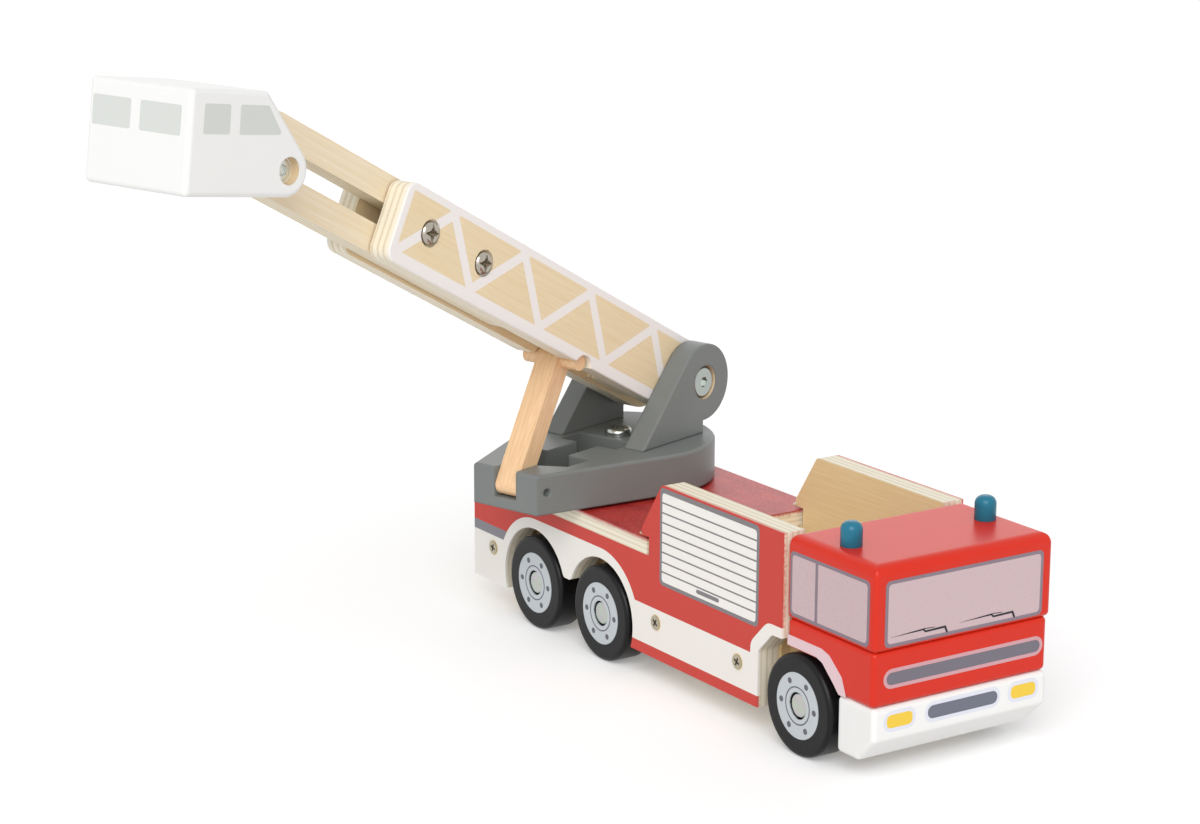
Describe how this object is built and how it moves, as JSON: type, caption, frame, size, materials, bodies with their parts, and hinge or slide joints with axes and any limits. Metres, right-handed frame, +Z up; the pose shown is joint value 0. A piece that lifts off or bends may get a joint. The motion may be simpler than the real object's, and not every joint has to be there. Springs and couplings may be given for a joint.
{
  "type": "wooden toy fire engine",
  "caption": "Wooden toy fire engine with rolling wheels, a slewing turntable, a lifting ladder on a folding strut, a sliding extension and a tilting rescue cabin.",
  "frame": {"origin": "on the ground below the middle of the truck's body, in its middle plane", "axes": "+X forward to the cab, +Y to the toy's left, +Z up"},
  "size_m": [0.326, 0.3723, 0.3051],
  "materials": {
    "red_lacquered_plywood": "satin lacquer",
    "red_lacquered_block": "satin lacquer",
    "white_lacquered_block": "satin lacquer",
    "pine_beam": "clear matt lacquer",
    "birch_plywood": "clear matt lacquer",
    "teal_lacquered_dowel": "satin lacquer",
    "grey_lacquered_wood": "matt lacquer",
    "beech": "clear matt lacquer",
    "zinc_plated_steel": "satin",
    "black_lacquered_wheel": "satin lacquer"
  },
  "bodies": {
    "truck": {"chassis_beam": "pine_beam", "rear_board": "pine_beam", "deck_board": "red_lacquered_plywood", "side_panel_right": "red_lacquered_plywood", "side_panel_left": "red_lacquered_plywood", "cab_upper_block": "red_lacquered_block", "cab_middle_block": "red_lacquered_block", "bumper": "white_lacquered_block", "beacon_right": "teal_lacquered_dowel", "beacon_left": "teal_lacquered_dowel", "axle_front": "zinc_plated_steel", "axle_middle": "zinc_plated_steel", "axle_rear": "zinc_plated_steel", "turntable_washer": "zinc_plated_steel", "turntable_screw": "zinc_plated_steel"},
    "turntable": {"turntable_plate": "grey_lacquered_wood", "ear_left": "grey_lacquered_wood", "ear_right": "grey_lacquered_wood", "ladder_bolt": "zinc_plated_steel", "strut_pin": "zinc_plated_steel"},
    "strut": {"strut_leg": "beech", "strut_dowel": "beech"},
    "ladder": {"ladder_rail_left": "birch_plywood", "ladder_rail_right": "birch_plywood", "ladder_spacer": "birch_plywood", "slide_bolt_outer": "zinc_plated_steel", "slide_bolt_inner": "zinc_plated_steel"},
    "slider": {"slider_plate": "birch_plywood", "cabin_bolt": "zinc_plated_steel"},
    "cabin": {"cabin": "white_lacquered_block"},
    "wheel_front_right": {"wheel_front_right": "black_lacquered_wheel"},
    "wheel_front_left": {"wheel_front_left": "black_lacquered_wheel"},
    "wheel_middle_right": {"wheel_middle_right": "black_lacquered_wheel"},
    "wheel_middle_left": {"wheel_middle_left": "black_lacquered_wheel"},
    "wheel_rear_right": {"wheel_rear_right": "black_lacquered_wheel"},
    "wheel_rear_left": {"wheel_rear_left": "black_lacquered_wheel"}
  },
  "joints": [
    {"name": "slew", "type": "hinge", "parent": "truck", "child": "turntable", "pos_m": [-0.1073, 0, 0.0715], "axis": [0, 0, 1], "continuous": true},
    {"name": "ladder_raise", "type": "hinge", "parent": "turntable", "child": "ladder", "pos_m": [-0.11643, 0.02879, 0.1192], "axis": [-0.9532, -0.3024, 0], "range_deg": [0, 62.1]},
    {"name": "strut_fold", "type": "hinge", "parent": "turntable", "child": "strut", "pos_m": [-0.08235, -0.07864, 0.084], "axis": [-0.9532, -0.3024, 0], "range_deg": [0, 61.49]},
    {"name": "ladder_slide", "type": "slide", "parent": "ladder", "child": "slider", "axis": [0.2672, -0.8424, 0.4679], "range_m": [-0.034, 0.03]},
    {"name": "cabin_tilt", "type": "hinge", "parent": "slider", "child": "cabin", "pos_m": [-0.02821, -0.24932, 0.26441], "axis": [-0.9532, -0.3024, 0], "range_deg": [-69.9, 20.1]},
    {"name": "wheel_front_right_turn", "type": "hinge", "parent": "truck", "child": "wheel_front_right", "pos_m": [0.1121, -0.0435, 0.0237], "axis": [0, 1, 0], "continuous": true},
    {"name": "wheel_front_left_turn", "type": "hinge", "parent": "truck", "child": "wheel_front_left", "pos_m": [0.1121, 0.0435, 0.0237], "axis": [0, 1, 0], "continuous": true},
    {"name": "wheel_middle_right_turn", "type": "hinge", "parent": "truck", "child": "wheel_middle_right", "pos_m": [-0.0459, -0.0435, 0.0237], "axis": [0, 1, 0], "continuous": true},
    {"name": "wheel_middle_left_turn", "type": "hinge", "parent": "truck", "child": "wheel_middle_left", "pos_m": [-0.0459, 0.0435, 0.0237], "axis": [0, 1, 0], "continuous": true},
    {"name": "wheel_rear_right_turn", "type": "hinge", "parent": "truck", "child": "wheel_rear_right", "pos_m": [-0.1051, -0.0435, 0.0237], "axis": [0, 1, 0], "continuous": true},
    {"name": "wheel_rear_left_turn", "type": "hinge", "parent": "truck", "child": "wheel_rear_left", "pos_m": [-0.1051, 0.0435, 0.0237], "axis": [0, 1, 0], "continuous": true}
  ],
  "couplings": [
    {"joint": "strut_fold", "follows": "ladder_raise", "ratio": 0.9898}
  ]
}
